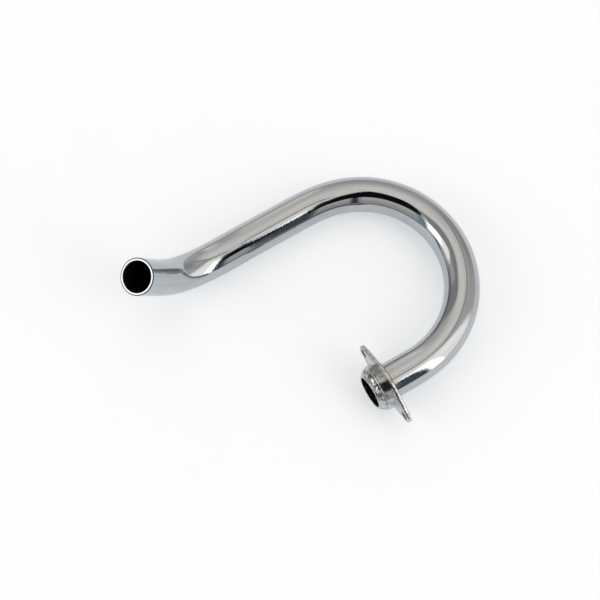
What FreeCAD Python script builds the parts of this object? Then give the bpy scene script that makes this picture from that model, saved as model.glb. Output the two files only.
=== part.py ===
# Exhaust header pipe of a small motorbike: a bent steel tube with a welded two-stud port flange.
#
# Frame: millimetres, +Z up, the pipe lying on the floor as it comes to rest.
# The origin is the centre of the inlet mouth, and +X runs into the pipe along the inlet.
# The tube turns back in a half circle on the +Y side, runs along -X and then rises to its outlet.

import FreeCAD
import Part
import math
import os

Vector = FreeCAD.Vector

# Tube
tube_od = 28.6
tube_wall = 2.3
mouth_chamfer = 0.5

# Bending plan, in the order of work from the flange end
inlet_straight = 41.0
u_bend_radius = 78.0
u_bend_angle = 180.0
leg_straight = 90.0
outlet_plane_turn = 86.0
outlet_bend_radius = 52.0
outlet_bend_angle = 59.0
outlet_straight = 36.0

# Port flange, placed along the inlet from the mouth
hub_setback = 5.0
hub_length = 7.3
hub_front_round = 0.6
ear_root_fillet = 2.5
plate_radius = 20.0
plate_thickness = 3.4
plate_edge_round = 0.7
ear_radius = 6.2
stud_spacing = 58.0
stud_hole_diameter = 7.0
flange_bore_clearance = 0.1

# Fillet weld between the tube end and the front of the hub
weld_setback = 0.9
weld_leg = 3.4
weld_hub_margin = 0.2
weld_crown = 0.5

tube_radius = tube_od / 2
tube_bore_radius = tube_radius - tube_wall
flange_bore_radius = tube_radius + flange_bore_clearance
plate_front = hub_setback + hub_length
plate_back = plate_front + plate_thickness
weld_head_radius = tube_radius + weld_leg
hub_face_radius = weld_head_radius + weld_hub_margin
hub_front_radius = hub_face_radius + hub_front_round
hub_taper = math.atan2(plate_radius - hub_front_radius, hub_length - hub_front_round + plate_edge_round)

ORIGIN = Vector(0, 0, 0)
INLET_AXIS = Vector(1, 0, 0)
TURN_SIDE = Vector(0, 1, 0)
ON_SURFACE = 1e-4


def turned(vector, axis, degrees):
    """The vector turned about an axis by the right-hand rule."""
    return FreeCAD.Rotation(axis, degrees).multVec(vector)


def disc(centre, axis, radius):
    return Part.Face(Part.Wire(Part.Circle(centre, axis, radius).toShape()))


def ring(centre, axis):
    """The tube's wall as a flat ring, square to the axis."""
    return disc(centre, axis, tube_radius).cut(disc(centre, axis, tube_bore_radius)).Faces[0]


class BentTube:
    """Carries the ring along straight runs and bends, as a tube bender feeds it."""

    def __init__(self, start, heading, side):
        self.point = start
        self.heading = heading
        self.side = side
        self.runs = []

    def feed(self, length):
        self.runs.append(ring(self.point, self.heading).extrude(self.heading * length))
        self.point = self.point + self.heading * length

    def roll(self, degrees):
        self.side = turned(self.side, self.heading, degrees)

    def bend(self, radius, degrees):
        pivot = self.point + self.side * radius
        axis = self.heading.cross(self.side)
        self.runs.append(ring(self.point, self.heading).revolve(pivot, axis, degrees))
        self.point = pivot + turned(self.point - pivot, axis, degrees)
        self.heading = turned(self.heading, axis, degrees)
        self.side = turned(self.side, axis, degrees)

    def solid(self):
        return self.runs[0].multiFuse(self.runs[1:]).removeSplitter().Solids[0]


def mouth_edges(shape, centre, axis):
    """The round edges that lie in the plane of a tube mouth."""

    def in_plane(point):
        return abs((point - centre).dot(axis)) < ON_SURFACE

    return [
        edge
        for edge in shape.Edges
        if in_plane(edge.CenterOfMass) and all(in_plane(vertex.Point) for vertex in edge.Vertexes)
    ]


def header_tube():
    """The bent tube, open at both ends, with its mouths lightly chamfered."""
    tube = BentTube(ORIGIN, INLET_AXIS, TURN_SIDE)
    tube.feed(inlet_straight)
    tube.bend(u_bend_radius, u_bend_angle)
    tube.feed(leg_straight)
    tube.roll(outlet_plane_turn)
    tube.bend(outlet_bend_radius, outlet_bend_angle)
    tube.feed(outlet_straight)
    solid = tube.solid()
    edges = mouth_edges(solid, ORIGIN, INLET_AXIS) + mouth_edges(solid, tube.point, tube.heading)
    return solid.makeChamfer(mouth_chamfer, edges).Solids[0]


def plate_outline(x, inset):
    """The plate's outline: a round middle drawn in by tangent lines to two rounded ears."""
    middle = plate_radius - inset
    ear = ear_radius - inset
    reach = stud_spacing / 2
    slant = math.asin((middle - ear) / reach)

    def at(centre_y, radius, angle):
        return Vector(x, centre_y + radius * math.sin(angle), radius * math.cos(angle))

    quarter = math.pi / 2
    edges = []
    for sign in (1, -1):
        ear_top = at(sign * reach, ear, sign * slant)
        ear_tip = at(sign * reach, ear, sign * quarter)
        ear_bottom = at(sign * reach, ear, math.pi - sign * slant)
        middle_top = at(0, middle, sign * slant)
        middle_bottom = at(0, middle, math.pi - sign * slant)
        edges.append(Part.Arc(ear_top, ear_tip, ear_bottom).toShape())
        edges.append(Part.LineSegment(middle_top, ear_top).toShape())
        edges.append(Part.LineSegment(middle_bottom, ear_bottom).toShape())
    for end in (0, math.pi):
        low = at(0, middle, end - slant)
        high = at(0, middle, end + slant)
        edges.append(Part.Arc(low, at(0, middle, end), high).toShape())
    return Part.Wire(Part.__sortEdges__(edges))


def plate_column(start, end, inset=0):
    return Part.Face(plate_outline(start, inset)).extrude(INLET_AXIS * (end - start))


def section_point(x, radius):
    return Vector(x, 0, radius)


def spun(edges):
    """A closed section turned once about the inlet's axis."""
    return Part.Face(Part.Wire(edges)).revolve(ORIGIN, INLET_AXIS, 360).Solids[0]


def plate():
    """The flat two-eared plate, with its rims rounded front and back."""
    solid = plate_column(plate_front, plate_back)
    rims = [edge for edge in solid.Edges if edge.BoundBox.XLength < ON_SURFACE]
    return solid.makeFillet(plate_edge_round, rims)


def hub():
    """The turned hub in front of the plate, widening from its rounded front edge to the plate's rim."""
    diagonal = section_point(-1, 1).normalize()
    nose = section_point(hub_setback + hub_front_round, hub_face_radius)
    face_inside = section_point(hub_setback, flange_bore_radius)
    face_outside = section_point(hub_setback, hub_face_radius)
    side_front = section_point(nose.x, hub_front_radius)
    side_back = section_point(plate_front + plate_edge_round, plate_radius)
    foot_inside = section_point(side_back.x, flange_bore_radius)
    return spun([
        Part.LineSegment(face_inside, face_outside).toShape(),
        Part.Arc(face_outside, nose + diagonal * hub_front_round, side_front).toShape(),
        Part.LineSegment(side_front, side_back).toShape(),
        Part.LineSegment(side_back, foot_inside).toShape(),
        Part.LineSegment(foot_inside, face_inside).toShape(),
    ])


def ear_coves():
    """The hollow fillet between the hub and the front of the ears, inside the plate's rounded rim."""
    corner = section_point(plate_front, plate_radius - plate_edge_round * math.tan(hub_taper))
    rise = ear_root_fillet * (1 / math.cos(hub_taper) - math.tan(hub_taper))
    centre = section_point(plate_front - ear_root_fillet, corner.z + rise)
    to_hub = section_point(math.sin(hub_taper), -math.cos(hub_taper))
    diagonal = (to_hub + INLET_AXIS).normalize()
    on_hub = centre + to_hub * ear_root_fillet
    on_plate = section_point(plate_front, centre.z)
    ring = spun([
        Part.Arc(on_hub, centre + diagonal * ear_root_fillet, on_plate).toShape(),
        Part.LineSegment(on_plate, corner).toShape(),
        Part.LineSegment(corner, on_hub).toShape(),
    ])
    return ring.common(plate_column(centre.x, plate_front, plate_edge_round))


def port_flange():
    """A two-eared plate with a round hub, bored for the tube and drilled for two studs."""
    body = plate().multiFuse([hub(), ear_coves()]).removeSplitter()
    body = body.cut(Part.makeCylinder(flange_bore_radius, plate_back, ORIGIN, INLET_AXIS))
    for side in (1, -1):
        foot = TURN_SIDE * (side * stud_spacing / 2)
        body = body.cut(Part.makeCylinder(stud_hole_diameter / 2, plate_back, foot, INLET_AXIS))
    return body.Solids[0]


def flange_weld():
    """The bead that closes the corner between the tube end and the front of the hub."""
    toe = section_point(weld_setback, tube_radius)
    root = section_point(hub_setback, tube_radius)
    head = section_point(hub_setback, weld_head_radius)
    outward = section_point(toe.z - head.z, head.x - toe.x).normalize()
    crown = (toe + head) / 2 + outward * weld_crown
    return spun([
        Part.LineSegment(toe, root).toShape(),
        Part.LineSegment(root, head).toShape(),
        Part.Arc(head, crown, toe).toShape(),
    ])


def laid_down(shape):
    """The pipe leans about its inlet until the flange and the leg both touch the floor."""
    flange_radius = max(plate_radius, hub_front_radius)
    lean = math.degrees(math.asin((flange_radius - tube_radius) / (2 * u_bend_radius)))
    return shape.rotated(ORIGIN, INLET_AXIS, -lean)


def main():
    os.makedirs("parts", exist_ok=True)
    for piece in (header_tube, port_flange, flange_weld):
        shape = laid_down(piece())
        print(piece.__name__, "valid" if shape.isValid() else "not valid", round(shape.Volume, 1), "mm3")
        shape.exportStep(f"parts/{piece.__name__}.step")


main()
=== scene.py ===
# Chromed motorbike header pipe: bent tube, two-stud port flange and its weld, in a white product tent.

import math

import bmesh
import bpy
import numpy as np
from mathutils import Matrix, Vector


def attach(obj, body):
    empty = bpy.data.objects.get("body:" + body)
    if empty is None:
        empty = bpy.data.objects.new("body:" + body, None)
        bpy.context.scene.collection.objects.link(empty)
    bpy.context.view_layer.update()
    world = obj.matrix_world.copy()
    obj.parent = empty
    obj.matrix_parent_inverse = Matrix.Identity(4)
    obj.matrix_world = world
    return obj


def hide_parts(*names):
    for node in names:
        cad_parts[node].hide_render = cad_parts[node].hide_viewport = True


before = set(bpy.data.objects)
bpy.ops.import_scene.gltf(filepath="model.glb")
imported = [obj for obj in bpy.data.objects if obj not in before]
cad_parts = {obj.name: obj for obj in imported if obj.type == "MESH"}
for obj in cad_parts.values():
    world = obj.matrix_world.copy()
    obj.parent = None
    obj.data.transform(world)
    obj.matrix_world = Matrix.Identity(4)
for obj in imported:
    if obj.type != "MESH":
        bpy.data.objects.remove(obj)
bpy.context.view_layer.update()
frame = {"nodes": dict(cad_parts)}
millimetre = 0.001
quarterTurn = math.pi / 2
fullTurn = 2 * math.pi
print("frame loaded:", ", ".join(frame["nodes"]))

# The pipe lies on its flange and its leg, so everything is drawn flat and then leaned about the inlet's axis.
resting = {"flangeRadius": 20.0, "tubeRadius": 14.3, "legAcross": 156.0}
lean = math.asin((resting["flangeRadius"] - resting["tubeRadius"]) / resting["legAcross"])
laidDown = np.array([[1, 0, 0],
                     [0, math.cos(lean), math.sin(lean)],
                     [0, -math.sin(lean), math.cos(lean)]])


# Mesh helpers

def gridFaces(rows, columns, closeRows=False, closeColumns=False):
    # quads between neighbouring grid points; a closed way joins its last line to its first
    row = np.arange(rows if closeRows else rows - 1)[:, None]
    column = np.arange(columns if closeColumns else columns - 1)[None, :]
    nextRow, nextColumn = (row + 1) % rows, (column + 1) % columns
    corners = (row * columns + column, row * columns + nextColumn,
               nextRow * columns + nextColumn, nextRow * columns + column)
    return np.stack(np.broadcast_arrays(*corners), -1)


def addPiece(name, points, faces, finishes, slots=None, flow=None):
    # points in millimetres of the flat drawing; flow is a point attribute for patterns that follow the tube
    mesh = bpy.data.meshes.new(name)
    placed = points.reshape(-1, 3) @ laidDown.T * millimetre
    mesh.from_pydata(placed, [], faces.reshape(-1, 4))
    mesh.polygons.foreach_set("use_smooth", np.ones(len(mesh.polygons), bool))
    for finish in finishes:
        mesh.materials.append(finish)
    if slots is not None:
        mesh.polygons.foreach_set("material_index", slots.ravel().astype(np.int32))
    if flow is not None:
        layer = mesh.attributes.new("flow", "FLOAT_VECTOR", "POINT")
        layer.data.foreach_set("vector", (flow * millimetre).astype(np.float32).ravel())
    mesh.update()
    piece = bpy.data.objects.new(name, mesh)
    bpy.context.scene.collection.objects.link(piece)
    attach(piece, "root")
    return piece


def mergeDoubles(piece, reach=1e-7):
    work = bmesh.new()
    work.from_mesh(piece.data)
    bmesh.ops.remove_doubles(work, verts=work.verts, dist=reach)
    work.to_mesh(piece.data)
    work.free()


def arcSteps(count):
    return np.linspace(0, quarterTurn, count)


# Node helpers: each takes sockets or plain numbers and gives back an output socket.

def plug(tree, socket, value):
    if isinstance(value, bpy.types.NodeSocket):
        tree.links.new(value, socket)
    else:
        socket.default_value = value


def calc(tree, operation, *values):
    node = tree.nodes.new("ShaderNodeMath")
    node.operation = operation
    for socket, value in zip(node.inputs, values):
        plug(tree, socket, value)
    return node.outputs[0]


def ease(tree, value, low, high, start=0.0, end=1.0):
    node = tree.nodes.new("ShaderNodeMapRange")   # start below low, end above high, smooth between
    node.interpolation_type = "SMOOTHSTEP"
    numbers = (("Value", value), ("From Min", low), ("From Max", high), ("To Min", start), ("To Max", end))
    for name, number in numbers:
        plug(tree, node.inputs[name], number)
    return node.outputs["Result"]


def band(tree, value, low, high, soft):
    rise = ease(tree, value, low - soft, low + soft)          # 1 between low and high, 0 outside
    fall = ease(tree, value, high - soft, high + soft, 1.0, 0.0)
    return calc(tree, "MULTIPLY", rise, fall)


def blendColour(tree, factor, below, above):
    node = tree.nodes.new("ShaderNodeMix")
    node.data_type = "RGBA"
    factorSocket, belowSocket, aboveSocket = node.inputs[0], node.inputs[6], node.inputs[7]
    plug(tree, factorSocket, factor)
    for socket, colour in ((belowSocket, below), (aboveSocket, above)):
        plug(tree, socket, colour if isinstance(colour, bpy.types.NodeSocket) else (*colour, 1.0))
    return node.outputs[2]


def noise(tree, place, scale, detail=3.0, roughness=0.5):
    node = tree.nodes.new("ShaderNodeTexNoise")
    plug(tree, node.inputs["Vector"], place)
    node.inputs["Scale"].default_value = scale
    node.inputs["Detail"].default_value = detail
    node.inputs["Roughness"].default_value = roughness
    return node.outputs["Fac"]


def stretched(tree, place, scale):
    node = tree.nodes.new("ShaderNodeMapping")
    plug(tree, node.inputs["Vector"], place)
    node.inputs["Scale"].default_value = scale
    return node.outputs["Vector"]


def parted(tree, vector):
    node = tree.nodes.new("ShaderNodeSeparateXYZ")
    tree.links.new(vector, node.inputs[0])
    return node.outputs["X"], node.outputs["Y"], node.outputs["Z"]


def bumped(tree, height, distance, strength, under=None):
    node = tree.nodes.new("ShaderNodeBump")
    plug(tree, node.inputs["Height"], height)
    node.inputs["Distance"].default_value = distance
    node.inputs["Strength"].default_value = strength
    if under is not None:
        tree.links.new(under, node.inputs["Normal"])
    return node.outputs["Normal"]


def newFinish(name):
    finish = bpy.data.materials.new(name)
    finish.use_nodes = True
    return finish, finish.node_tree, finish.node_tree.nodes["Principled BSDF"].inputs


def objectPlace(tree):
    return tree.nodes.new("ShaderNodeTexCoord").outputs["Object"]


def scaledColour(colour, amount):
    return tuple(amount * part for part in colour)


# Camera

view = {"right": (0.856267, -0.516188, 0.018873), "up": (0.482225, 0.811955, 0.328920),
        "back": (-0.185109, -0.272542, 0.944169), "place": (-0.237177, -0.247534, 1.172574),
        "lens": 96.24, "sensor": 36.0, "far": 50.0}

camera = bpy.data.objects.new("photoCamera", bpy.data.cameras.new("photoCamera"))
camera.data.sensor_width = view["sensor"]
camera.data.lens = view["lens"]
camera.data.clip_end = view["far"]
axes = Matrix((view["right"], view["up"], view["back"])).transposed().to_4x4()
camera.matrix_world = Matrix.Translation(Vector(view["place"])) @ axes
bpy.context.scene.collection.objects.link(camera)
bpy.context.scene.camera = camera
bpy.context.scene.view_settings.view_transform = "Standard"
print("camera placed")


# Bent tube: sizes in millimetres, angles in degrees

pipe = {"radius": 14.3, "bore": 12.0, "lip": 0.5,
        "inlet": 41.0, "bigBend": 78.0, "bigAngle": 180.0, "leg": 90.0,
        "planeTurn": 86.0, "smallBend": 52.0, "smallAngle": 59.0, "outlet": 36.0,
        "bigEase": (14.0, 50.0), "smallEase": (40.0, 40.0),   # lengths over which each bend starts and ends
        "sag": 3.0, "sagBefore": 19.0, "sagSpread": 8.5, "rise": 0.55, "riseBefore": 62.0,
        "flattening": 0.02,
        "around": 160, "step": 1.6, "boreStep": 4.0, "lipSteps": 7, "rimSteps": 6,
        "inletSoot": 1.2, "outletSoot": 0.5}                  # how far soot comes over each rim, in lips


def easedBend(distance, start, radius, angle, eases):
    # angle turned so far and share of the full curvature: the curvature rises and falls along smooth steps
    # that are centred on the bend's two ends
    def ramp(ahead, easing):
        share = np.clip(ahead / easing + 0.5, 0, 1)
        turned = easing * (share ** 3 - share ** 4 / 2) + np.clip(ahead - easing / 2, 0, None)
        return turned, share ** 2 * (3 - 2 * share)

    into, begun = ramp(distance - start, eases[0])
    past, ended = ramp(distance - start - radius * angle, eases[1])
    return (into - past) / radius, begun - ended


def bendingPlan():
    # an eased bend keeps its straight runs in line when its radius gives up ease^2 / (80 radius) for each
    # end; the half circle starts later by as much, so that its outside stays in place
    def given(eases, radius, divisor=80):
        return sum(run ** 2 for run in eases) / (divisor * radius)

    bigGiven = given(pipe["bigEase"], pipe["bigBend"])
    smallGiven = given(pipe["smallEase"], pipe["smallBend"])
    bigRadius, smallRadius = pipe["bigBend"] - bigGiven, pipe["smallBend"] - smallGiven
    bigAngle, smallAngle = math.radians(pipe["bigAngle"]), math.radians(pipe["smallAngle"])
    bigStart = pipe["inlet"] + bigGiven
    smallStart = bigStart + bigRadius * bigAngle + pipe["leg"] + bigGiven
    return {"big": (bigStart, bigRadius, bigAngle, pipe["bigEase"]),
            "small": (smallStart, smallRadius, smallAngle, pipe["smallEase"]),
            "smallStart": smallStart, "length": smallStart + smallRadius * smallAngle + pipe["outlet"]}


plan = bendingPlan()


def turnedAbout(axis, angle, vectors):
    # Rodrigues' formula: v cos a + (axis x v) sin a + axis (axis . v)(1 - cos a)
    angle = angle[:, None]
    return vectors * np.cos(angle) + np.cross(axis, vectors) * np.sin(angle) \
        + axis * (vectors @ axis)[:, None] * (1 - np.cos(angle))


def tubeFrames(distance):
    # heading, side and up of the tube: turned about +Z through the first bend, then about the second bend's
    # axis. Ahead of the second bend the leg has a slight rise and sag, each a bell curve of angle,
    # exp(-way^2). flat is the flattening along each bend's side.
    turn, bigShare = easedBend(distance, *plan["big"])
    lift, smallShare = easedBend(distance, *plan["small"])
    sagWay = (distance - plan["smallStart"] + pipe["sagBefore"]) / pipe["sagSpread"]
    riseSpread = pipe["sagSpread"] * pipe["sag"] / pipe["rise"]      # the rise gives back what the sag takes
    riseWay = (distance - plan["smallStart"] + pipe["riseBefore"]) / riseSpread
    lift = lift - math.radians(pipe["sag"]) * np.exp(-sagWay ** 2)
    lift = lift + math.radians(pipe["rise"]) * np.exp(-riseWay ** 2)
    nothing = np.zeros(len(distance))
    heading = np.stack([np.cos(turn), np.sin(turn), nothing], -1)
    side = np.stack([-np.sin(turn), np.cos(turn), nothing], -1)
    up = np.broadcast_to([0.0, 0.0, 1.0], side.shape)
    plane = math.radians(pipe["planeTurn"])
    smallSide = np.array([0, -math.cos(plane), math.sin(plane)])
    axis = np.cross([-1.0, 0, 0], smallSide)
    flat = np.sqrt(pipe["flattening"] * bigShare)[:, None] * side
    leaning = turnedAbout(axis, lift, np.broadcast_to(smallSide, side.shape))
    flat = flat + np.sqrt(pipe["flattening"] * smallShare)[:, None] * leaning
    heading, side, up = (turnedAbout(axis, lift, vectors) for vectors in (heading, side, up))
    return heading, side, up, flat


def centreLine(distance, stations=4001):
    # the heading summed along the tube from the inlet mouth
    along = np.linspace(0, plan["length"], stations)
    heading = tubeFrames(along)[0]
    steps = (heading[1:] + heading[:-1]) / 2 * np.diff(along)[:, None]
    places = np.concatenate([np.zeros((1, 3)), np.cumsum(steps, 0)])
    return np.stack([np.interp(distance, along, way) for way in places.T], -1)


# In all finishes a noise is its scale, detail and roughness, a range is the two values that a pattern fades
# between, and a bump is its height in metres and its strength.

# Chrome of the tube: places in millimetres along the tube
chrome = {"colour": (0.46, 0.495, 0.53), "duller": 0.95, "toneNoise": (22.0, 2.0), "toneRange": (0.35, 0.65),
          "streak": (0.40, 0.42, 0.44), "streakShare": 0.85, "streakStretch": (16.0, 420.0, 420.0),
          "streakNoise": (1.0, 3.0, 0.6), "streakRange": (0.42, 0.70),
          "heat": (0.46, 0.41, 0.37), "heatShare": 0.75, "heatFrom": 12.0, "heatRange": (16.5, 23.0),
          "heatNoise": (130.0, 4.0), "heatWander": 7.0, "heatHaze": 0.08,
          # the next three values paint a thin dark ring on the outlet's outer lip: a painted dark reflection
          # along the rim
          "paintedDarkRim": (0.07, 0.068, 0.065), "paintedDarkRimDepth": 0.45, "paintedDarkRimRadius": 13.38,
          "polish": 0.035, "haze": 0.05, "hazeNoise": (45.0, 5.0, 0.6), "hazeRange": (0.45, 0.75),
          "lineStretch": (950.0, 55.0, 55.0), "lineNoise": (1.0, 3.0, 0.6),   # polishing lines round the tube
          "lineRange": (0.5, 0.8), "lineHaze": 0.03, "lineBump": (0.000022, 1.0),
          "waveNoise": (40.0, 1.0), "waveBump": (0.00006, 0.5)}


def tubeChrome():
    finish, tree, sockets = newFinish("tubeChrome")
    attribute = tree.nodes.new("ShaderNodeAttribute")   # distance along the tube, then across its section
    attribute.attribute_name = "flow"
    flow = attribute.outputs["Vector"]
    along, acrossY, acrossZ = (calc(tree, "DIVIDE", part, millimetre) for part in parted(tree, flow))
    wander = noise(tree, flow, *chrome["heatNoise"])
    wander = calc(tree, "MULTIPLY_ADD", wander, 2 * chrome["heatWander"], -chrome["heatWander"])
    heat = ease(tree, calc(tree, "ADD", along, wander), *chrome["heatRange"], chrome["heatShare"], 0.0)
    heat = calc(tree, "MULTIPLY", heat, calc(tree, "GREATER_THAN", along, chrome["heatFrom"]))
    tone = ease(tree, noise(tree, flow, *chrome["toneNoise"]), *chrome["toneRange"])
    plated = blendColour(tree, tone, scaledColour(chrome["colour"], chrome["duller"]), chrome["colour"])
    streaks = noise(tree, stretched(tree, flow, chrome["streakStretch"]), *chrome["streakNoise"])
    streaks = ease(tree, streaks, *chrome["streakRange"], 0.0, chrome["streakShare"])
    plated = blendColour(tree, streaks, plated, chrome["streak"])
    plated = blendColour(tree, heat, plated, chrome["heat"])
    radius = calc(tree, "SQRT", calc(tree, "ADD", calc(tree, "MULTIPLY", acrossY, acrossY),
                                     calc(tree, "MULTIPLY", acrossZ, acrossZ)))
    # painted dark reflection: a thin dark ring on the outlet's outer lip, over the tube's last fraction of a
    # millimetre
    paintedDarkRimMask = calc(tree, "MULTIPLY", calc(tree, "GREATER_THAN", along, plan["length"] - chrome["paintedDarkRimDepth"]),
                calc(tree, "GREATER_THAN", radius, chrome["paintedDarkRimRadius"]))
    plug(tree, sockets["Base Color"], blendColour(tree, paintedDarkRimMask, plated, chrome["paintedDarkRim"]))
    lines = noise(tree, stretched(tree, flow, chrome["lineStretch"]), *chrome["lineNoise"])
    haze = ease(tree, noise(tree, flow, *chrome["hazeNoise"]), *chrome["hazeRange"])
    rough = calc(tree, "MULTIPLY_ADD", haze, chrome["haze"], chrome["polish"])
    rough = calc(tree, "MULTIPLY_ADD", ease(tree, lines, *chrome["lineRange"]), chrome["lineHaze"], rough)
    rough = calc(tree, "MULTIPLY_ADD", heat, chrome["heatHaze"], rough)
    plug(tree, sockets["Roughness"], rough)
    plug(tree, sockets["Metallic"], 1.0)
    waves = bumped(tree, noise(tree, flow, *chrome["waveNoise"]), *chrome["waveBump"])
    plug(tree, sockets["Normal"], bumped(tree, lines, *chrome["lineBump"], waves))
    return finish


# Soot of the bore: ashy specks lie just inside the inlet, from one place to another in millimetres
soot = {"black": (0.002, 0.002, 0.002),
        "cloud": (0.006, 0.0055, 0.005), "cloudNoise": (140.0, 4.0), "cloudRange": (0.4, 0.7),
        "flake": (0.03, 0.028, 0.026), "flakeRange": (0.66, 0.74),
        "grainNoise": (900.0, 6.0, 0.65), "grainBump": (0.0004, 0.8),
        "speck": (0.20, 0.19, 0.18), "speckNoise": (420.0, 3.0), "speckRange": (0.60, 0.65),
        "speckFrom": -1.0, "speckTo": 14.0, "speckFade": 2.0,
        "roughness": 0.75, "cloudHaze": 0.2, "specular": 0.08}


def boreSoot():
    finish, tree, sockets = newFinish("boreSoot")
    place = objectPlace(tree)
    grain = noise(tree, place, *soot["grainNoise"])
    cloud = noise(tree, place, *soot["cloudNoise"])
    layer = blendColour(tree, ease(tree, cloud, *soot["cloudRange"]), soot["black"], soot["cloud"])
    layer = blendColour(tree, ease(tree, grain, *soot["flakeRange"]), layer, soot["flake"])
    inward = calc(tree, "DIVIDE", parted(tree, place)[0], millimetre)
    specks = ease(tree, noise(tree, place, *soot["speckNoise"]), *soot["speckRange"])
    nearMouth = band(tree, inward, soot["speckFrom"], soot["speckTo"], soot["speckFade"])
    specks = calc(tree, "MULTIPLY", specks, nearMouth)
    plug(tree, sockets["Base Color"], blendColour(tree, specks, layer, soot["speck"]))
    plug(tree, sockets["Roughness"], calc(tree, "MULTIPLY_ADD", cloud, soot["cloudHaze"], soot["roughness"]))
    plug(tree, sockets["Specular IOR Level"], soot["specular"])
    plug(tree, sockets["Normal"], bumped(tree, grain, *soot["grainBump"]))
    return finish


def headerPipe():
    # the tube wall's section loop (outside, outlet lip, bore, inlet lip) swept along the centre line: each
    # point is centre + radius * (cos a * side + sin a * up), less the flattening along the bend's side
    length, lip, outer, inner = plan["length"], pipe["lip"], pipe["radius"], pipe["bore"]
    outside = np.linspace(lip, length - lip, int(length / pipe["step"]))
    inside = np.linspace(length - lip, lip, int(length / pipe["boreStep"]))[1:]
    bend = arcSteps(pipe["lipSteps"])[1:]
    sine, cosine = lip * np.sin(bend), lip * np.cos(bend)
    rim = np.linspace(outer - lip, inner + lip, pipe["rimSteps"])
    sections = (
        (outside, np.full(len(outside), outer)),
        (length - lip + sine, outer - lip + cosine),
        (np.full(len(rim) - 1, length), rim[1:]),
        (length - lip + cosine, inner + lip - sine),
        (inside, np.full(len(inside), inner)),
        (lip - sine, inner + lip - cosine),
        (np.zeros(len(rim) - 1), np.linspace(inner + lip, outer - lip, pipe["rimSteps"])[1:]),
        ((lip - cosine)[:-1], (outer - lip + sine)[:-1]),
    )
    distance, radius = (np.concatenate(part) for part in zip(*sections))
    centre = centreLine(distance)
    side, up, flat = tubeFrames(distance)[1:]
    angle = np.linspace(0, fullTurn, pipe["around"], endpoint=False)
    ring = np.cos(angle)[:, None] * side[:, None] + np.sin(angle)[:, None] * up[:, None]
    ring = ring - (ring * flat[:, None]).sum(-1, keepdims=True) * flat[:, None]
    points = centre[:, None] + radius[:, None, None] * ring
    flow = np.stack([np.broadcast_to(distance[:, None], points.shape[:2]),
                     radius[:, None] * np.cos(angle), radius[:, None] * np.sin(angle)], -1)
    faces = gridFaces(*points.shape[:2], closeRows=True, closeColumns=True)
    covered = np.where(distance < lip, pipe["inletSoot"], pipe["outletSoot"]) * lip
    sooty = np.broadcast_to((radius < inner + covered)[:, None], faces.shape[:2])
    piece = addPiece("headerPipe", points, faces, [tubeChrome(), boreSoot()], sooty, flow.reshape(-1, 3))
    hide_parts("header_tube")
    return piece


tube = headerPipe()
print("header pipe:", len(tube.data.polygons), "faces")


# Port flange: sizes in millimetres, marks in degrees from the line of the ears with the grid lines up to each

flange = {"bore": 14.4, "boreLip": 0.3, "face": 5.0, "faceRadius": 17.5, "faceInset": 0.4, "nose": 1.0,
          "plateFront": 12.3, "plateBack": 15.7, "plateRadius": 20.0, "edgeRound": 0.7,
          "earRadius": 6.2, "reach": 29.0, "hole": 3.5, "holeLip": 0.3, "cove": 2.5, "coveShare": 0.75,
          "marks": ((11, 5), (62, 27), (90, 12)), "holeSteps": 17, "holeLipSteps": 5, "boreLipSteps": 4,
          "noseSteps": 6, "coneSteps": 5, "coveSteps": 8, "edgeSteps": 6,
          "frontLines": 6, "rimLines": 5, "backLines": 8, "boreLines": 5, "holeLines": 4}

# Chrome over the unpolished forging
forging = {"dull": (0.30, 0.315, 0.335), "bright": (0.52, 0.535, 0.545),
           "stainNoise": (150.0, 4.0, 0.6), "stainRange": (0.36, 0.60),
           "dentNoise": (210.0, 3.0), "dentBump": (0.0003, 0.75),
           "grainNoise": (700.0, 4.0, 0.6), "grainBump": (0.00008, 0.5), "grainHaze": 0.22, "polish": 0.06}


def flangeChrome():
    finish, tree, sockets = newFinish("flangeChrome")
    place = objectPlace(tree)
    grain = noise(tree, place, *forging["grainNoise"])
    stains = ease(tree, noise(tree, place, *forging["stainNoise"]), *forging["stainRange"])
    plug(tree, sockets["Base Color"], blendColour(tree, stains, forging["dull"], forging["bright"]))
    rough = calc(tree, "MULTIPLY_ADD", grain, forging["grainHaze"], forging["polish"])
    plug(tree, sockets["Roughness"], rough)
    plug(tree, sockets["Metallic"], 1.0)
    dents = bumped(tree, noise(tree, place, *forging["dentNoise"]), *forging["dentBump"])
    plug(tree, sockets["Normal"], bumped(tree, grain, *forging["grainBump"], dents))
    return finish


def plateReach(turn, inset):
    # distance from the bore's axis to the plate's edge, by the angle from the line of the ears: the ear's
    # circle, then the line that touches both circles, then the middle circle, each drawn in by the inset
    middle, ear, reach = flange["plateRadius"] - inset, flange["earRadius"] - inset, flange["reach"]
    slant = np.arcsin((middle - ear) / reach)
    folded = np.arccos(np.abs(np.cos(turn)))
    touch = np.arctan2(ear * np.cos(slant), reach + ear * np.sin(slant))
    onEar = reach * np.cos(folded) + np.sqrt(np.clip(ear ** 2 - (reach * np.sin(folded)) ** 2, 0, None))
    onLine = middle / np.sin(folded + slant)
    return np.select([folded <= touch, folded <= quarterTurn - slant], [onEar, onLine], middle)


def unchanged(values):
    return values


def allRound(quarter, mirrored=unchanged, turned=unchanged):
    # a quarter's values carried round: the quarter, its mirror image, then both turned by half a circle
    mirror = mirrored(quarter)
    return np.concatenate([quarter[:-1], mirror[:0:-1], turned(quarter)[:-1], turned(mirror)[:0:-1]])


def allTurns(quarter):
    return allRound(quarter, lambda angle: math.pi - angle, lambda angle: math.pi + angle)


def between(first, last, count):
    share = np.linspace(0, 1, count)[1:-1, None, None]
    return list(first + (last - first) * share)


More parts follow.
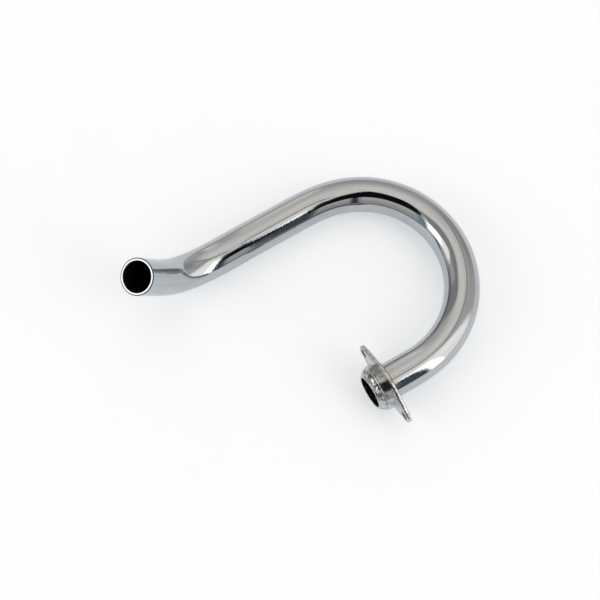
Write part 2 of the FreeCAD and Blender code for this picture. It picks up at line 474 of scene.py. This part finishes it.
def holeLiner(ear, turns):
    # a stud hole's wall: a circle carried through the plate, with its lips rounded out to both faces
    front, back, depth, hole = flange["plateFront"], flange["plateBack"], flange["holeLip"], flange["hole"]
    bend = arcSteps(flange["holeLipSteps"])
    lip, rise = depth * (1 - np.sin(bend)), depth * (1 - np.cos(bend))
    wall = np.linspace(front + depth, back - depth, flange["holeLines"])[1:-1]
    x = np.concatenate([front + rise, wall, back - lip])
    radius = np.concatenate([hole + lip, np.full(len(wall), hole), hole + rise])[:, None]
    return np.stack([np.broadcast_to(x[:, None], (len(x), len(turns))),
                     ear * flange["reach"] + radius * np.cos(turns), radius * np.sin(turns)], -1)


def portFlange():
    # one section loop per angle round the bore: hub face, rounded nose, hub side that widens to the plate's
    # rim, hollow cove and plate front on the ears, rounded rim, plate back, bore. Between two rows of each
    # plate face the grid opens into the stud hole's circle, at reach -/+ lip * cos w along the ears and
    # lip * sin w across.
    face, faceRadius, nose, edge = flange["face"], flange["faceRadius"], flange["nose"], flange["edgeRound"]
    front, back, reach = flange["plateFront"], flange["plateBack"], flange["reach"]
    bore, lip, lipRadius = flange["bore"], flange["boreLip"], flange["hole"] + flange["holeLip"]
    sweep = arcSteps(flange["holeSteps"])
    quarter = np.arctan2(lipRadius * np.sin(sweep), reach)
    for degrees, lines in flange["marks"]:
        quarter = np.concatenate([quarter, np.linspace(quarter[-1], math.radians(degrees), lines)[1:]])
    restCount = len(quarter) - len(sweep)
    turn = allTurns(quarter)
    lengthwise = allRound(np.concatenate([np.cos(sweep), np.zeros(restCount)]))
    crosswise = allRound(np.concatenate([np.sin(sweep), np.ones(restCount)]))
    inHole = allRound(np.arange(len(quarter)) < len(sweep))
    earSide, upSide = np.sign(np.round(np.cos(turn), 9)), np.sign(np.round(np.sin(turn), 9))

    def polar(x, radius):
        x, radius = np.broadcast_to(x, turn.shape), np.broadcast_to(radius, turn.shape)
        return np.stack([x, radius * np.cos(turn), radius * np.sin(turn)], -1)

    rimX = front + edge
    taper = math.atan2(flange["plateRadius"] - faceRadius - nose, rimX - face - nose)

    def coneRadius(x):
        return flange["plateRadius"] - (rimX - x) * math.tan(taper)

    foot = coneRadius(front)
    rim = plateReach(turn, edge)
    cove = np.clip(flange["coveShare"] * (rim - foot), 0, flange["cove"])
    coveEnd = foot + cove * (1 / math.cos(taper) - math.tan(taper))
    rim = np.maximum(rim, coveEnd)
    gone = inHole.argmin()
    slitShare = (np.hypot(reach, lipRadius) - coveEnd[0]) / (rim[gone - 1] - coveEnd[0])
    slit = coveEnd + slitShare * (rim - coveEnd)

    def holeRow(x, sign):
        # points of the plate face on the hole's near (-1) or far (+1) half; past the hole both rows meet
        across = np.stack([np.broadcast_to(x, turn.shape), earSide * (reach + sign * lipRadius * lengthwise),
                           lipRadius * crosswise * upSide], -1)
        return np.where(inHole[:, None], across, polar(x, slit))

    # hub
    rows = [polar(face, bore), polar(face, faceRadius - flange["faceInset"])]
    rows += [polar(face + nose * (1 - math.sin(a)), faceRadius + nose * math.cos(a))
             for a in np.linspace(quarterTurn, taper, flange["noseSteps"])]
    coneStart = face + nose * (1 - math.sin(taper))
    coneEnd = front - cove * (1 - math.sin(taper))
    for step in range(1, flange["coneSteps"]):
        x = coneStart + (coneEnd - coneStart) * (step / flange["coneSteps"])
        rows.append(polar(x, coneRadius(x)))
    rows += [polar(front - cove + cove * math.cos(a), coveEnd + cove * math.sin(a))
             for a in np.linspace(taper - quarterTurn, 0, flange["coveSteps"])]

    # plate, from its front over the rim to its back
    near, far, frontRim = holeRow(front, -1), holeRow(front, 1), polar(front, rim)
    rows += between(rows[-1], near, flange["frontLines"])
    frontSlit = len(rows)
    rows += [near, far] + between(far, frontRim, flange["rimLines"])
    for a in arcSteps(flange["edgeSteps"]):
        x = front + edge * (1 - math.cos(a))
        rows.append(polar(x, np.maximum(plateReach(turn, edge * (1 - math.sin(a))), coneRadius(x))))
    rows += [polar((front + back) / 2, plateReach(turn, 0.0))]
    rows += [polar(back - edge * (1 - math.sin(a)), plateReach(turn, edge * (1 - math.cos(a))))
             for a in arcSteps(flange["edgeSteps"])]
    near, far, backBore = holeRow(back, -1), holeRow(back, 1), polar(back, bore + lip)
    rows += between(rows[-1], far, flange["rimLines"])
    backSlit = len(rows)
    rows += [far, near] + between(near, backBore, flange["backLines"])

    # bore
    rows += [polar(back - lip * (1 - math.cos(a)), bore + lip * (1 - math.sin(a)))
             for a in arcSteps(flange["boreLipSteps"])]
    rows += [polar(x, bore) for x in np.linspace(back - lip, face, flange["boreLines"])[1:-1]]

    points = np.stack(rows)
    faces = gridFaces(*points.shape[:2], closeRows=True, closeColumns=True)
    keep = np.ones(faces.shape[:2], bool)
    keep[[frontSlit, backSlit]] = False                 # no faces across the open slits
    liners = [holeLiner(ear, allTurns(sweep)) for ear in (1, -1)]
    linerFaces = gridFaces(*liners[0].shape[:2], closeColumns=True).reshape(-1, 4)[:, ::-1]
    count, linerCount = points.size // 3, liners[0].size // 3
    quads = [faces[keep], linerFaces + count, linerFaces + count + linerCount]
    allPoints = [part.reshape(-1, 3) for part in (points, *liners)]
    piece = addPiece("portFlange", np.concatenate(allPoints), np.concatenate(quads), [flangeChrome()])
    mergeDoubles(piece)
    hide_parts("port_flange")
    return piece


portPiece = portFlange()
print("port flange:", len(portPiece.data.polygons), "faces")


# Weld bead: sizes in millimetres; waves round the bead are (fewest, most) turns and how many are added up

weld = {"toe": 1.0, "head": 5.0, "toeRadius": 14.27, "headRadius": 17.35, "crown": 0.5,
        "ripples": 30, "rippleHeight": 0.045, "rippleSpread": 0.6, "bow": 2.4,
        "drift": 0.5, "driftWaves": (2, 9, 6), "lumpHeight": 0.38, "lumpWaves": (5, 24, 10),
        "wander": 0.25, "wanderWaves": (3, 25, 8), "waveSizes": (0.4, 1.0),
        "around": 460, "across": 25, "seed": 7}

# Chrome over the bead
beadLook = {"dull": (0.20, 0.20, 0.20), "bright": (0.60, 0.61, 0.62),
            "lumpNoise": (210.0, 2.0), "lumpRange": (0.4, 0.65), "lumpBump": (0.0007, 0.5),
            "pit": (0.10, 0.095, 0.09), "pitRange": (0.58, 0.66),
            "grainNoise": (800.0, 4.0, 0.6), "grainHaze": 0.2, "polish": 0.05}


def weldChrome():
    finish, tree, sockets = newFinish("weldChrome")
    place = objectPlace(tree)
    grain = noise(tree, place, *beadLook["grainNoise"])
    lumps = noise(tree, place, *beadLook["lumpNoise"])
    tone = ease(tree, lumps, *beadLook["lumpRange"])
    tone = blendColour(tree, tone, beadLook["dull"], beadLook["bright"])
    pits = ease(tree, grain, *beadLook["pitRange"])
    plug(tree, sockets["Base Color"], blendColour(tree, pits, tone, beadLook["pit"]))
    rough = calc(tree, "MULTIPLY_ADD", grain, beadLook["grainHaze"], beadLook["polish"])
    plug(tree, sockets["Roughness"], rough)
    plug(tree, sockets["Metallic"], 1.0)
    plug(tree, sockets["Normal"], bumped(tree, lumps, *beadLook["lumpBump"]))
    return finish


def flangeWeld():
    # a crowned bead: the chord from the tube's end to the hub's face, pushed out by crown * 4t(1 - t), by
    # crescent ripples cos(n a + bow) and by seeded waves round it; its back and root follow hub and tube
    draw = np.random.default_rng(weld["seed"])
    angle = np.linspace(0, fullTurn, weld["around"], endpoint=False)[None, :]

    def waves(low, high, count):
        turns, phases = draw.integers(low, high, (count, 1)), draw.uniform(0, fullTurn, (count, 1))
        sizes = draw.uniform(*weld["waveSizes"], (count, 1))
        return (sizes * np.cos(turns * angle + phases)).sum(0)[None, :] / math.sqrt(count)

    share = np.linspace(0, 1, weld["across"])[:, None]
    window = 4 * share * (1 - share)
    toe = weld["toe"] + weld["wander"] * waves(*weld["wanderWaves"])
    headRadius = weld["headRadius"] + weld["wander"] / 2 * waves(*weld["wanderWaves"])
    run, climb = weld["head"] - weld["toe"], weld["headRadius"] - weld["toeRadius"]
    slope = math.hypot(run, climb)
    drift = weld["drift"] * waves(*weld["driftWaves"])
    crescents = np.cos(weld["ripples"] * angle + weld["bow"] * (2 * share - 1) ** 2 + drift)
    lumps = waves(*weld["lumpWaves"]) * (1 - share) + waves(*weld["lumpWaves"]) * share
    push = weld["crown"] * window
    push = push + weld["rippleHeight"] * window ** weld["rippleSpread"] * crescents
    push = push + weld["lumpHeight"] * window * lumps
    x = toe + (weld["head"] - toe) * share - push * climb / slope
    radius = weld["toeRadius"] + (headRadius - weld["toeRadius"]) * share + push * run / slope
    x = np.concatenate([x, np.full((2, weld["around"]), weld["head"])])
    root = np.full((1, weld["around"]), weld["toeRadius"])
    radius = np.concatenate([radius, (headRadius + root) / 2, root])
    points = np.stack([x, radius * np.cos(angle), radius * np.sin(angle)], -1)
    faces = gridFaces(*points.shape[:2], closeRows=True, closeColumns=True)
    piece = addPiece("flangeWeld", points, faces, [weldChrome()])
    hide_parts("flange_weld")
    return piece


bead = flangeWeld()
print("weld bead:", len(bead.data.polygons), "faces")


# Table: a plain pale square, large enough to fill any view, in metres

tableLook = {"height": -0.020, "half": 6.0, "colour": (0.80, 0.83, 0.865), "paler": 1.02,
             "cloudNoise": (3.0, 2.0), "glow": 0.40, "glowColour": (0.93, 0.97, 1.0), "roughness": 0.9}


def whiteTable():
    half, height = tableLook["half"], tableLook["height"]
    mesh = bpy.data.meshes.new("whiteTable")
    corners = [[-half, -half, height], [half, -half, height], [half, half, height], [-half, half, height]]
    mesh.from_pydata(np.array(corners), [], [[0, 1, 2, 3]])
    finish, tree, sockets = newFinish("whiteTable")
    clouds = noise(tree, objectPlace(tree), *tableLook["cloudNoise"])
    paler = scaledColour(tableLook["colour"], tableLook["paler"])
    plug(tree, sockets["Base Color"], blendColour(tree, clouds, tableLook["colour"], paler))
    plug(tree, sockets["Emission Color"], (*tableLook["glowColour"], 1.0))
    plug(tree, sockets["Emission Strength"], tableLook["glow"])
    plug(tree, sockets["Roughness"], tableLook["roughness"])
    plug(tree, sockets["Specular IOR Level"], 0.0)
    mesh.materials.append(finish)
    table = bpy.data.objects.new("whiteTable", mesh)
    bpy.context.scene.collection.objects.link(table)


whiteTable()


# Tent: compass angles count from the camera's side and tilt angles from straight up, in degrees

tent = {"cameraCompass": -130.52, "dome": (1.08, 1.00, 0.90), "dimFold": 0.93, "brightFold": 1.05,
        "foldNoise": (3.5, 3.0), "foldRange": (0.35, 0.65),
        "neutral": (1.07, 1.00, 0.935), "cool": (0.84, 1.00, 1.16), "panelBottom": 95,
        "below": (0.90, 0.94, 0.98), "horizon": (90.0, 91.0), "backdrop": (0.96, 0.97, 0.98)}

# Each panel is a window of compass angles (middle, half width) and tilts, painted over those before it. It
# ends at tent["panelBottom"] unless it says where. A wall panel shows only past the ridge.
panels = (
    {"middle": 180, "half": 42, "sideFade": 12, "top": 44, "endFade": 20, "glow": 0.58},
    {"middle": -154, "half": 5, "sideFade": 3, "top": 50, "bottom": 78, "endFade": 5, "glow": 0.98},
    {"middle": 141, "half": 39, "sideFade": 8, "top": 12, "endFade": 3, "glow": 0.62, "wall": True},
    {"middle": 142, "half": 15, "sideFade": 12, "top": 56, "endFade": 14, "glow": 0.44},
    {"middle": 82, "half": 18, "sideFade": 6, "top": 27, "endFade": 8, "glow": 1.48, "wall": True},
    {"middle": -138, "half": 11, "sideFade": 6, "top": 50, "endFade": 10, "glow": 0.62},
    {"middle": -90, "half": 29, "sideFade": 5, "top": 20, "endFade": 4, "glow": 0.38},
    {"middle": -116, "half": 14, "sideFade": 4, "top": 38, "endFade": 4, "glow": 0.35},
    {"middle": -99, "half": 8, "sideFade": 4, "top": 54, "endFade": 9, "glow": 0.58},
    {"middle": -72, "half": 19, "sideFade": 3, "top": 46, "bottom": 76, "endFade": 4, "glow": 1.55},
    {"middle": -66, "half": 9, "sideFade": 4, "top": 47, "bottom": 74, "endFade": 4, "glow": 2.6},
    {"middle": -72, "half": 19, "sideFade": 3, "top": 77, "endFade": 3, "glow": 0.68},
    {"middle": -115, "half": 26, "sideFade": 5, "top": 81, "endFade": 2, "glow": 0.28},
    {"middle": -150, "half": 9, "sideFade": 4, "top": 84, "endFade": 2, "glow": 0.50},
    {"middle": 64.8, "half": 5.6, "sideFade": 1.2, "top": 38, "endFade": 6, "glow": 3.0},
    {"middle": 2, "half": 49.5, "sideFade": 1, "top": 38, "endFade": 2, "glow": 0.66},
    {"middle": 2, "half": 49.5, "sideFade": 1, "top": 60, "endFade": 8, "glow": 0.525},
    {"middle": 2, "half": 49.5, "sideFade": 1, "top": 82, "endFade": 6, "glow": 0.285},
    {"middle": -50, "half": 5, "sideFade": 1, "top": 44, "bottom": 88, "endFade": 3, "glow": 0.38,
     "cool": True},
    {"middle": 55.2, "half": 4.0, "sideFade": 0.8, "top": 28, "endFade": 2, "glow": 0.105, "cool": True},
    {"middle": 18, "half": 4, "sideFade": 2, "top": 38, "endFade": 3, "glow": 0.06},
)

# The ridge is the dark seam where the tent's right wall meets its ceiling.
ridge = {"side": 17.0, "slant": 0.12, "core": 1.0, "reach": 2.2, "from": 58, "to": 158, "endFade": 6.0,
         "glow": 0.20}

# The opening is the black gap that the camera looks through, between two lines of (compass, tilt) points.
opening = {"left": -52.0, "leftSlant": 0.55, "leftTilt": 43, "leftFade": 2.0, "right": 58.0, "rightFade": 1.5,
           "lower": ((-60, 44), (-50, 43.5), (-28, 43), (0, 41.5), (23, 47.5), (39, 53), (52, 54), (62, 54)),
           "upper": ((-75, 14), (-55, 11), (-30, 5), (0, 3), (20, 9), (30, 17), (46, 27), (54, 40), (62, 50)),
           "lowerFade": 0.5, "upperFade": 1.5, "teeth": 2.6, "teethAcross": 0.6, "teethDown": 0.12,
           "teethNoise": (1.0, 2.0), "colour": (0.008, 0.008, 0.010)}


def bentLine(tree, value, line):
    # a smooth line through points of (compass, tilt), which the curve takes as shares of 360 and 90 degrees
    node = tree.nodes.new("ShaderNodeFloatCurve")
    curve = node.mapping.curves[0]
    for number, (across, down) in enumerate(line):
        spot = ((across + 180) / 360, down / 90)
        if number in (0, len(line) - 1):
            curve.points[0 if number == 0 else -1].location = spot
        else:
            curve.points.new(*spot)
    node.mapping.update()
    plug(tree, node.inputs["Value"], calc(tree, "MULTIPLY_ADD", value, 1 / 360, 0.5))
    return calc(tree, "MULTIPLY", node.outputs[0], 90.0)


def openingMask(tree, compass, tilt):
    # 1 between the upper line and the lower one, whose edge is toothed, and between the left and right ends
    spread = tree.nodes.new("ShaderNodeCombineXYZ")
    plug(tree, spread.inputs["X"], calc(tree, "MULTIPLY", compass, opening["teethAcross"]))
    plug(tree, spread.inputs["Y"], calc(tree, "MULTIPLY", tilt, opening["teethDown"]))
    teeth = noise(tree, spread.outputs[0], *opening["teethNoise"])
    teeth = calc(tree, "MULTIPLY_ADD", teeth, 2 * opening["teeth"], -opening["teeth"])
    under = calc(tree, "SUBTRACT", bentLine(tree, compass, opening["lower"]), calc(tree, "ADD", tilt, teeth))
    over = calc(tree, "SUBTRACT", tilt, bentLine(tree, compass, opening["upper"]))
    leftStart = opening["left"] - opening["leftTilt"] * opening["leftSlant"]
    leftEdge = calc(tree, "MULTIPLY_ADD", tilt, opening["leftSlant"], leftStart)
    inside = calc(tree, "SUBTRACT", compass, leftEdge)
    before = calc(tree, "SUBTRACT", opening["right"], compass)
    mask = 1.0
    edges = ((under, "lowerFade"), (over, "upperFade"), (inside, "leftFade"), (before, "rightFade"))
    for distance, fade in edges:
        mask = calc(tree, "MULTIPLY", mask, ease(tree, distance, -opening[fade], opening[fade]))
    return mask


def productTent():
    # the world is a lit tent: dome colour, then each panel mixed in by its window of angles, then the opening
    world = bpy.data.worlds.new("productTent")
    world.use_nodes = True
    bpy.context.scene.world = world
    tree = world.node_tree
    direction = tree.nodes.new("ShaderNodeTexCoord").outputs["Generated"]
    turned = tree.nodes.new("ShaderNodeVectorRotate")
    turned.rotation_type = "Z_AXIS"
    plug(tree, turned.inputs["Vector"], direction)
    plug(tree, turned.inputs["Angle"], -math.radians(tent["cameraCompass"]))
    ahead, aside, above = parted(tree, turned.outputs[0])
    bearing = calc(tree, "ARCTAN2", aside, ahead)
    compass = calc(tree, "MULTIPLY", bearing, math.degrees(1))
    tilt = calc(tree, "MULTIPLY", calc(tree, "ARCCOSINE", above), math.degrees(1))

    # how far a direction lies past the ridge, on a flat plan of the ceiling
    planSide = calc(tree, "MULTIPLY", tilt, calc(tree, "SINE", bearing))
    planAhead = calc(tree, "MULTIPLY", tilt, calc(tree, "COSINE", bearing))
    planSide = calc(tree, "MULTIPLY_ADD", planAhead, ridge["slant"], planSide)
    pastRidge = calc(tree, "SUBTRACT", planSide, ridge["side"])
    wall = ease(tree, pastRidge, 0.0, ridge["reach"])

    folds = ease(tree, noise(tree, direction, *tent["foldNoise"]), *tent["foldRange"])
    colour = blendColour(tree, folds, scaledColour(tent["dome"], tent["dimFold"]),
                         scaledColour(tent["dome"], tent["brightFold"]))
    for panel in panels:
        half, fade = panel["half"], panel["sideFade"]
        off = calc(tree, "WRAP", calc(tree, "SUBTRACT", compass, panel["middle"]), 180.0, -180.0)
        across = ease(tree, calc(tree, "ABSOLUTE", off), half - fade, half + fade, 1.0, 0.0)
        bottom = panel.get("bottom", tent["panelBottom"])
        window = calc(tree, "MULTIPLY", across, band(tree, tilt, panel["top"], bottom, panel["endFade"]))
        if panel.get("wall"):
            window = calc(tree, "MULTIPLY", window, wall)
        tint = tent["cool" if panel.get("cool") else "neutral"]
        colour = blendColour(tree, window, colour, scaledColour(tint, panel["glow"]))
    seam = ease(tree, calc(tree, "ABSOLUTE", pastRidge), ridge["core"], ridge["reach"], 1.0, 0.0)
    seam = calc(tree, "MULTIPLY", seam, band(tree, compass, ridge["from"], ridge["to"], ridge["endFade"]))
    colour = blendColour(tree, seam, colour, scaledColour(tent["neutral"], ridge["glow"]))
    colour = blendColour(tree, openingMask(tree, compass, tilt), colour, opening["colour"])
    colour = blendColour(tree, ease(tree, tilt, *tent["horizon"]), colour, tent["below"])
    rays = tree.nodes.new("ShaderNodeLightPath")       # seen directly, the tent is a plain pale backdrop
    colour = blendColour(tree, rays.outputs["Is Camera Ray"], colour, tent["backdrop"])
    plug(tree, tree.nodes["Background"].inputs["Color"], colour)


productTent()
print("tent and table lit")
